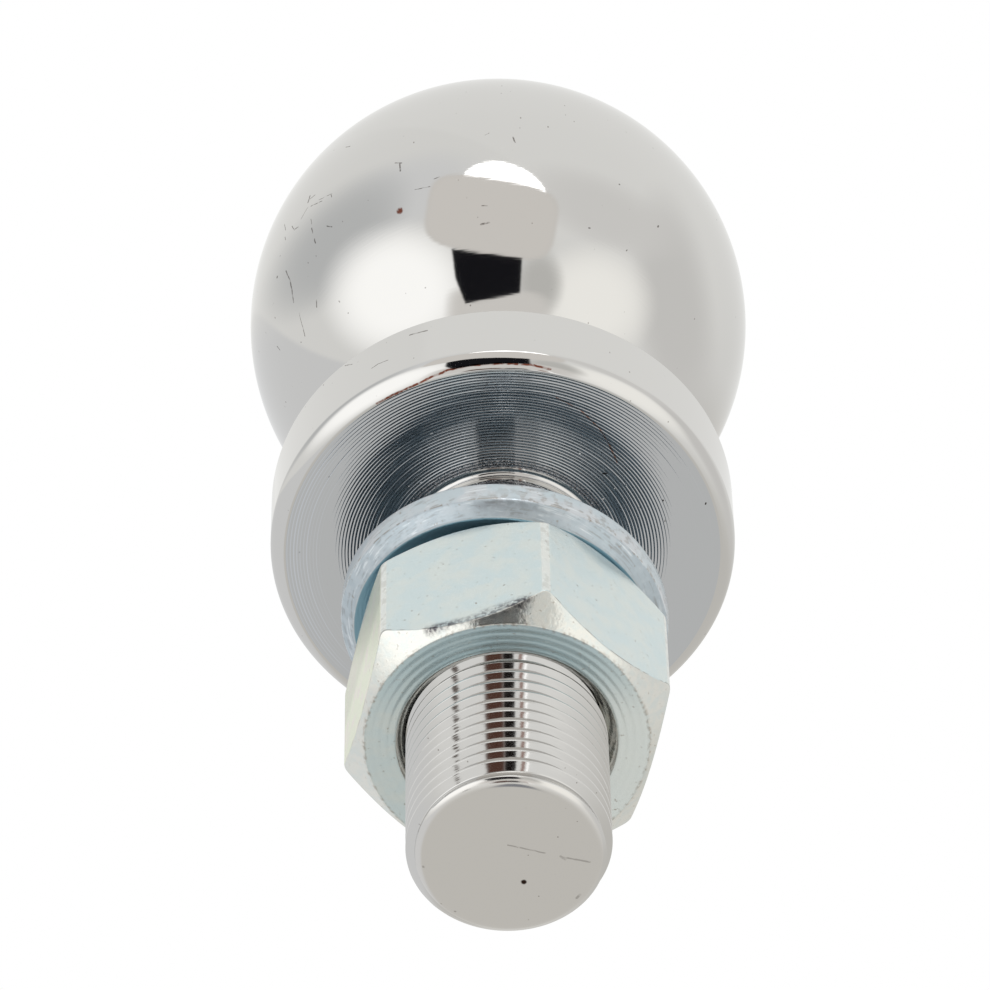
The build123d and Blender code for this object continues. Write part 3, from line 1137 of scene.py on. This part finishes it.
@dataclass
class HexNut:
    """A hexagon nut, forged, chamfered on both faces, tapped and zinc plated.

    Attributes are its sizes in millimetres. Its heights come from the frame.
    """

    across_flats: float = 27.9
    face_radius: float = 13.4
    bearing_radius: float = 13.7
    face_countersink: float = 10.45
    bearing_countersink: float = 10.05
    corner_round: float = 1.1
    edge_round: float = 0.35
    face_round: float = 0.3
    mouth_round: float = 0.12
    thread_fade: float = 0.5
    turn: float = -15.6
    thread: ThreadForm = ThreadForm(
        crest_radius=9.6, root_radius=8.85, crest_share=0.165, crest_round=0.08, root_round=0.06)

    def outline(self) -> tuple[Array, Array]:
        """Walk once round the hexagon with its corners rounded.

        A flat is a straight run, and a corner an arc about a point (half the width across flats less
        the radius) / cos(30) from the axis. The flat's points crowd towards its corners.

        Returns:
            The angle and the distance from the axis of each point of the walk.
        """
        apothem = self.across_flats / 2
        hub = (apothem - self.corner_round) / math.cos(math.radians(30))
        half_flat = hub * math.sin(math.radians(30))
        most = math.pi / 2 * 0.96
        run = half_flat * np.sin(np.linspace(-1.0, 1.0, 23) * most) / math.sin(most)
        flat = np.stack([np.full_like(run, apothem), run], axis=-1)
        swing = np.radians(np.linspace(0.0, 60.0, 9)[1:-1])
        corner = [hub * math.cos(math.radians(30)), hub * math.sin(math.radians(30))]
        arc = np.stack([np.cos(swing), np.sin(swing)], axis=-1) * self.corner_round + corner
        side = np.concatenate([flat, arc])
        turns = np.radians(60.0 * np.arange(6) + self.turn + 30.0)[:, None, None]
        x, y = side[None, :, 0:1], side[None, :, 1:2]
        walk = np.concatenate([x * np.cos(turns) - y * np.sin(turns), x * np.sin(turns) + y * np.cos(turns)], axis=-1)
        walk = walk.reshape(-1, 2)
        walk = np.concatenate([walk, walk[:1]])
        angle = np.unwrap(np.arctan2(walk[:, 1], walk[:, 0]))
        return angle, np.hypot(walk[:, 0], walk[:, 1])

    def shell(self, low: float, high: float, bore_low: float, bore_high: float) -> Sheet:
        """Make the faces, chamfers and flats as one skin from bore to bore.

        At each angle the chamfer rises one for one with radius, from the face's circle to the hexagon.

        Args:
            low: The height of the lower face.
            high: The height of the upper face.
            bore_low: The height at which the thread begins.
            bore_high: The height at which it ends.

        Returns:
            The surface.
        """
        angle, reach = self.outline()
        drawn = (
            (self.thread.crest_radius, bore_low),
            (self.face_countersink, low),
            (self.face_radius, low),
            (reach, low + (reach - self.face_radius)),
            (reach, high - (reach - self.bearing_radius)),
            (self.bearing_radius, high),
            (self.bearing_countersink, high),
            (self.thread.crest_radius, bore_high),
        )
        one = np.ones_like(reach)
        corners = np.stack([np.stack([one * radius, one * height], axis=-1) for radius, height in drawn])
        radii = [self.mouth_round, self.face_round, self.edge_round]
        rows, ways = soften(corners, radii + radii[::-1], 5)
        rows, ways = divide(rows, ways, 1.2)
        return turned(rows, ways, angle)

    def build(self) -> bpy.types.Object:
        """Build the nut and dress it.

        Returns:
            The piece.
        """
        low, high = (corner[2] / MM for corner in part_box("hex_nut"))
        bore_low = low + self.face_countersink - self.thread.crest_radius
        bore_high = high - self.bearing_countersink + self.thread.crest_radius
        angle, _ = self.outline()
        radius, height, way = self.thread.wind(bore_low, bore_high, angle)
        ends = smoothstep(0.0, self.thread_fade, np.minimum(height - bore_low, bore_high - height))
        radius = self.thread.crest_radius - (self.thread.crest_radius - radius) * ends
        tapped = wound(radius, height, way, angle, self.thread.pitch)
        tapped = Sheet(tapped.points[::-1], -tapped.normals[::-1])
        piece = stitch("plated_hex_nut", [self.shell(low, high, bore_low, bore_high), tapped], exact=False)
        # The third straw tint is a painted shadow of the washer; the lower face carries painted reflections.
        piece.data.materials.append(ZincPlate(
            straw=("dfe4c6", "e4dbd0", "b4b89e"), face_ring_mm=0.75, face_radius=self.face_radius,
            painted_reflections=NUT_PAINTED_REFLECTION, first_flat=self.turn + 30.0).dress())
        return place_piece(piece, "nut", "hex_nut")


@dataclass
class SpringWasher:
    """A left-hand turn of square bar, split at the back and zinc plated.

    It lies tilted: its bore bears on the shank and its lower edge rests on the nut. Attributes are its
    sizes in millimetres and its directions in degrees from +X.
    """

    bore_radius: float = 9.975
    bar_width: float = 5.8
    thickness: float = 3.8
    end_offset: float = 2.0
    gap_width: float = 3.5
    gap_direction: float = 90.0
    outer_chamfer: float = 1.25
    chamfer_round: float = 0.6
    edge_round: float = 0.35
    end_round: float = 0.25
    lean_direction: float = 120.0
    lean_clearance: float = 0.05
    shank_radius: float = 9.525
    spans: int = 300

    def section(self) -> Array:
        """Walk once round the bar's section, anticlockwise.

        Returns:
            Offsets outwards and upwards from the bar's middle, points by two.
        """
        x, y = self.bar_width / 2, self.thickness / 2
        cut = self.outer_chamfer
        corners = [(0.0, -y), (x - cut, -y), (x, cut - y), (x, y), (-x, y), (-x, -y), (0.0, -y)]
        radii = [self.chamfer_round] * 2 + [self.edge_round] * 3
        rows, ways = soften(np.array(corners)[:, None, :], radii, 6)
        rows, _ = divide(rows, ways, 0.8)
        return rows[:, 0]

    def lean(self) -> float:
        """Find the tilt at which the bore comes to bear on the shank.

        Returns:
            The tilt in radians.
        """
        tall, bore = self.thickness + self.end_offset, 2 * self.bore_radius
        passage = 2 * (self.shank_radius + self.lean_clearance) / math.hypot(bore, tall)
        return math.acos(min(passage, 1.0)) - math.atan2(tall, bore)

    def bar(self) -> tuple[Array, Array, Array]:
        """Carry the section along a helix and close its ends.

        Near an end the section shrinks by end round - sqrt(end round^2 - d^2), where d is how far inside
        the round it lies.

        Returns:
            The bar's skin and its two caps, each rows by columns by three.
        """
        section = self.section()
        mean = self.bore_radius + self.bar_width / 2
        gap = self.gap_width / mean
        length, edge = (FULL_TURN - gap) * mean, self.end_round
        breaks = np.sin(np.linspace(0.0, math.pi / 2, 5)) * edge
        middle = np.linspace(0.0, 1.0, self.spans + 1)
        middle = middle[(middle * length > edge) & (middle * length < length - edge)]
        share = np.concatenate([(edge - breaks[::-1]) / length, middle, 1.0 - (edge - breaks) / length])
        nearest = np.minimum(share, 1.0 - share) * length
        inset = edge - np.sqrt(np.maximum(edge ** 2 - np.maximum(edge - nearest, 0.0) ** 2, 0.0))
        angle = math.radians(self.gap_direction) - gap / 2 - share * (FULL_TURN - gap)
        radius = mean + section[:, 0] * (1.0 - 2 * inset / self.bar_width)[:, None]
        climb = ((share - 0.5) * self.end_offset)[:, None]
        height = section[:, 1] * (1.0 - 2 * inset / self.thickness)[:, None] + climb
        skin = np.stack([radius * np.cos(angle)[:, None], radius * np.sin(angle)[:, None], height], axis=-1)
        rings = np.linspace(0.0, 1.0, 4)[:, None, None]
        first, last = (end[:-1].mean(axis=0) + (end - end[:-1].mean(axis=0)) * rings for end in (skin[0], skin[-1]))
        return skin, first, last[::-1]

    def build(self) -> bpy.types.Object:
        """Build the washer and dress it.

        Returns:
            The piece.
        """
        toward = math.radians(self.lean_direction)
        tilt = Matrix.Rotation(self.lean(), 3, (math.sin(toward), -math.cos(toward), 0.0))
        skin = [part @ np.array(tilt).T for part in self.bar()]
        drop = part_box("spring_washer")[0][2] / MM - min(part[..., 2].min() for part in skin)
        sheets = [Sheet(part + [0.0, 0.0, drop], np.zeros_like(part)) for part in skin]
        piece = stitch("plated_spring_washer", sheets, exact=False)
        piece.data.materials.append(ZincPlate(
            name="clear blue zinc plate on spring steel", cold="c3ced4", warm="cdd1d5", chamfer="b7c2c9",
            roughness=0.28, chamfer_roughness=0.40, chamfer_grain=1.3, drawn_mm=0.30, painted_shade=True,
            painted_reflections=WASHER_PAINTED_REFLECTION, dark_reflection="74757b", reflection_share=0.38).dress())
        return place_piece(piece, "washer", "spring_washer")


def place_piece(piece: bpy.types.Object, body: str, node: str) -> bpy.types.Object:
    """Let a finished piece ride on its body in its CAD node's place.

    Args:
        piece: The finished object.
        body: The CAD body that carries it.
        node: The CAD node that it stands for.

    Returns:
        The same piece.
    """
    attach(piece, body)
    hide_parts(node)
    triangles = sum(len(face.vertices) - 2 for face in piece.data.polygons)
    log.info("%s: %d triangles on %s", piece.name, triangles, body)
    return piece


# ---------------------------------------------------------------- studio

@dataclass(frozen=True)
class Panel:
    """A pale or dark patch of the room, as a chrome ball shows it.

    Places and sizes are shares of the ball's radius, with 0, 0 in the ball's middle.

    Attributes:
        middle: Its middle, to the right and upwards.
        half: Half its width and half its height, to the middle of the blurred edge.
        turn: How far it is turned anticlockwise, in degrees.
        soft: The width of the blurred edge as a share of the half size.
        light: Its brightness, where 1 is white.
        colour: The sRGB hex code of its tint.
        squareness: 0 for an oval, 1 or 2 for a box with more or less round corners.
    """

    middle: tuple[float, float]
    half: tuple[float, float]
    turn: float
    soft: float
    light: float
    colour: str = "fffefb"
    squareness: int = 0

    def mask(self, tree: Tree, place: Socket) -> Socket:
        """Draw the patch.

        With x and y in half sizes, the edge is where |x|^n + |y|^n is 1, and n is 2, 4 or 8.

        Args:
            tree: The world's node tree.
            place: The place on the ball.

        Returns:
            A number that is 1 inside the patch and 0 outside.
        """
        inputs = {
            "Vector": place,
            "Location": (*self.middle, 0.0),
            "Rotation": (0.0, 0.0, math.radians(self.turn)),
            "Scale": (*self.half, 1.0),
        }
        level = add(tree, "ShaderNodeMapping", inputs, vector_type="TEXTURE").outputs[0]
        for _ in range(self.squareness):
            level = vector(tree, "MULTIPLY", level, level)
        power = 2 ** (self.squareness + 1)
        edge = ((1.0 + self.soft / 2) ** power, (1.0 - self.soft / 2) ** power)
        return ramp(tree, vector(tree, "DOT_PRODUCT", level, level), *edge)


@dataclass(frozen=True)
class Board:
    """A panel with straight sides in the room, as a chrome ball shows it.

    Attributes:
        corners: Its corners clockwise, as shares of the ball's radius to the right and upwards.
        soft: The width of its blurred edge.
        rounding: How far its corners are rounded.
        light: Its brightness, where 1 is white.
        colour: The sRGB hex code of its tint.
    """

    corners: tuple[tuple[float, float], ...]
    soft: float
    rounding: float
    light: float
    colour: str

    def mask(self, tree: Tree, place: Socket) -> Socket:
        """Draw the panel.

        The depth inside a side is (place - corner) across the side, and the least depth counts.

        Args:
            tree: The world's node tree.
            place: The place on the ball.

        Returns:
            A number that is 1 inside the panel and 0 outside.
        """
        least: object = FAR_INSIDE
        for (x, y), (next_x, next_y) in zip(self.corners, self.corners[1:] + self.corners[:1]):
            length = math.hypot(next_x - x, next_y - y)
            across = ((next_y - y) / length, -(next_x - x) / length, 0.0)
            depth = vector(tree, "DOT_PRODUCT", place, across)
            inside = number(tree, "SUBTRACT", depth, x * across[0] + y * across[1])
            least = number(tree, "SMOOTH_MIN", inside, least, self.rounding)
        return ramp(tree, least, -self.soft / 2, self.soft / 2)


# The room from its dim far parts to what stands before the ball. The last six show in the thread's flanks.
ROOM: tuple[Panel | Board, ...] = (
    Panel((0.0, 0.16), (0.91, 0.80), 0.0, 0.25, 0.965, "fffffd"),
    Panel((0.0, -1.0), (1.7, 0.75), 0.0, 0.5, 0.72, "fffdf8"),
    Panel((-0.78, -0.42), (0.42, 0.48), 0.0, 0.5, 0.84, "fdfeff"),
    Panel((-0.399, 0.308), (0.628, 0.486), 0.0, 0.05, 0.94, "fffffd"),
    Panel((0.702, 0.065), (0.12, 0.36), 8.0, 1.1, 0.80, "fffefc"),
    Panel((0.411, 0.449), (0.24, 0.10), -25.0, 1.2, 0.86, "fffefc"),
    Panel((-0.35, 0.52), (0.22, 0.11), 20.0, 1.2, 0.88, "fdfeff"),
    Panel((-0.642, 0.328), (0.271, 0.125), 45.0, 1.2, 0.68, "fcfeff"),
    Panel((-0.399, 0.128), (0.222, 0.205), 12.0, 1.0, 1.45, "fffffe"),
    Panel((0.375, 0.085), (0.172, 0.165), -10.0, 1.2, 1.23, "fffefa"),
    Panel((0.165, 0.16), (0.07, 0.10), 0.0, 1.2, 0.68, "fffefa"),
    Panel((0.024, 0.508), (0.182, 0.130), -22.0, 0.05, 3.6, "ffffff"),
    Panel((-0.026, 0.425), (0.258, 0.152), -10.0, 0.10, 0.81, "fffbf6", 1),
    Panel((-0.026, 0.425), (0.249, 0.143), -10.0, 0.10, 0.845, "fffbf6", 1),
    Panel((0.000, 0.050), (0.185, 0.080), -4.0, 0.45, 0.86, "fffcf8", 1),
    Board(((-0.184, 0.297), (0.095, 0.259), (0.087, 0.120), (-0.130, 0.078), (-0.170, 0.18)),
          0.010, 0.006, 0.013, "e8e8ff"),
    Panel((-0.034, -0.060), (0.045, 0.055), 0.0, 0.5, 0.10, "ffb8a0", 1),
    Panel((0.041, -0.060), (0.027, 0.055), 0.0, 0.15, 0.012, "ffe8e0", 2),
    Panel((0.103, -0.060), (0.008, 0.050), 0.0, 0.6, 0.35, "ffd0c0", 1),
    Panel((0.126, -0.060), (0.005, 0.050), 0.0, 0.6, 1.6, "ffffff", 1),
    Panel((-0.241, -0.105), (0.019, 0.024), 0.0, 0.5, 0.10, "ffe0d0"),
    Panel((0.03, -0.32), (0.06, 0.10), 0.0, 0.6, 0.30, "f0f4ff"),
)


@dataclass
class Studio:
    """Camera and soft light.

    Attributes:
        camera_place: Where the camera stands, in millimetres.
        camera_right: The way to the right in its picture.
        camera_up: The way up in its picture.
        lens_mm: Its focal length on a sensor 36 mm wide.
        base_light: The brightness of the room behind the panels.
        room: The panels, each over those before it.
    """

    camera_place: Place = (-0.66324, -376.75216, -566.76728)
    camera_right: Place = (0.99980578, 0.01650628, -0.01076737)
    camera_up: Place = (0.0197077, -0.83739226, 0.54624702)
    lens_mm: float = 253.648
    base_light: float = 0.87
    room: tuple[Panel | Board, ...] = ROOM

    def axes(self) -> Array:
        """Give the camera's right, its up and the way towards it as rows."""
        return np.array([self.camera_right, self.camera_up, np.cross(self.camera_right, self.camera_up)])

    def build_camera(self) -> None:
        """Set the camera at the photograph's viewing angle."""
        data = bpy.data.cameras.new("camera")
        data.lens = self.lens_mm
        data.sensor_width = 36.0
        data.clip_end = 20.0
        camera = bpy.data.objects.new("camera", data)
        matrix = np.eye(4)
        matrix[:3, :3] = self.axes().T
        matrix[:3, 3] = np.array(self.camera_place) * MM
        camera.matrix_world = Matrix(matrix.tolist())
        bpy.context.scene.collection.objects.link(camera)
        bpy.context.scene.camera = camera

    def build_world(self) -> None:
        """Paint the studio on the world.

        The camera sees white. Everything else sees a pale room with the panels in it. A chrome ball
        shows the direction d at the place of the normal halfway between d and the way to the camera,
        so the place is (d right, d up) / sqrt(2 + 2 * d towards the camera), in shares of its radius.
        """
        world = bpy.data.worlds.new("studio")
        bpy.context.scene.world = world
        world.use_nodes = True
        world.cycles.sampling_method = "NONE"
        tree = world.node_tree
        tree.nodes.clear()
        way = add(tree, "ShaderNodeTexCoord").outputs["Generated"]
        shares = [vector(tree, "DOT_PRODUCT", way, tuple(axis)) for axis in self.axes()]
        length = number(tree, "SQRT", number(tree, "MULTIPLY_ADD", shares[2], 2.0, 2.0 + NOT_ZERO))
        flat = add(tree, "ShaderNodeCombineXYZ", {0: shares[0], 1: shares[1]}).outputs[0]
        lengths = add(tree, "ShaderNodeCombineXYZ", {0: length, 1: length, 2: 1.0}).outputs[0]
        place = vector(tree, "DIVIDE", flat, lengths)
        colour: object = lit("fffffd", self.base_light)
        for panel in self.room:
            colour = blend(tree, panel.mask(tree, place), colour, lit(panel.colour, panel.light))
        painted = add(tree, "ShaderNodeBackground", {"Color": colour, "Strength": 1.0}).outputs[0]
        backdrop = add(tree, "ShaderNodeBackground", {"Color": lit("ffffff", 1.0), "Strength": 1.0}).outputs[0]
        path = add(tree, "ShaderNodeLightPath").outputs["Is Camera Ray"]
        mix = add(tree, "ShaderNodeMixShader", {0: path, 1: painted, 2: backdrop}).outputs[0]
        add(tree, "ShaderNodeOutputWorld", {"Surface": mix})

    def build(self) -> None:
        """Build camera and world."""
        bpy.context.scene.view_settings.view_transform = "Standard"
        self.build_camera()
        self.build_world()


def lit(code: str, light: float) -> tuple[float, float, float, float]:
    """Give a tint at a brightness, in linear light."""
    return tuple(light * share for share in linear(code)[:3]) + (1.0,)


def main() -> None:
    """Build the studio and the pieces in order."""
    Studio().build()
    TowBall().build()
    HexNut().build()
    SpringWasher().build()


if __name__ == "__main__":
    main()
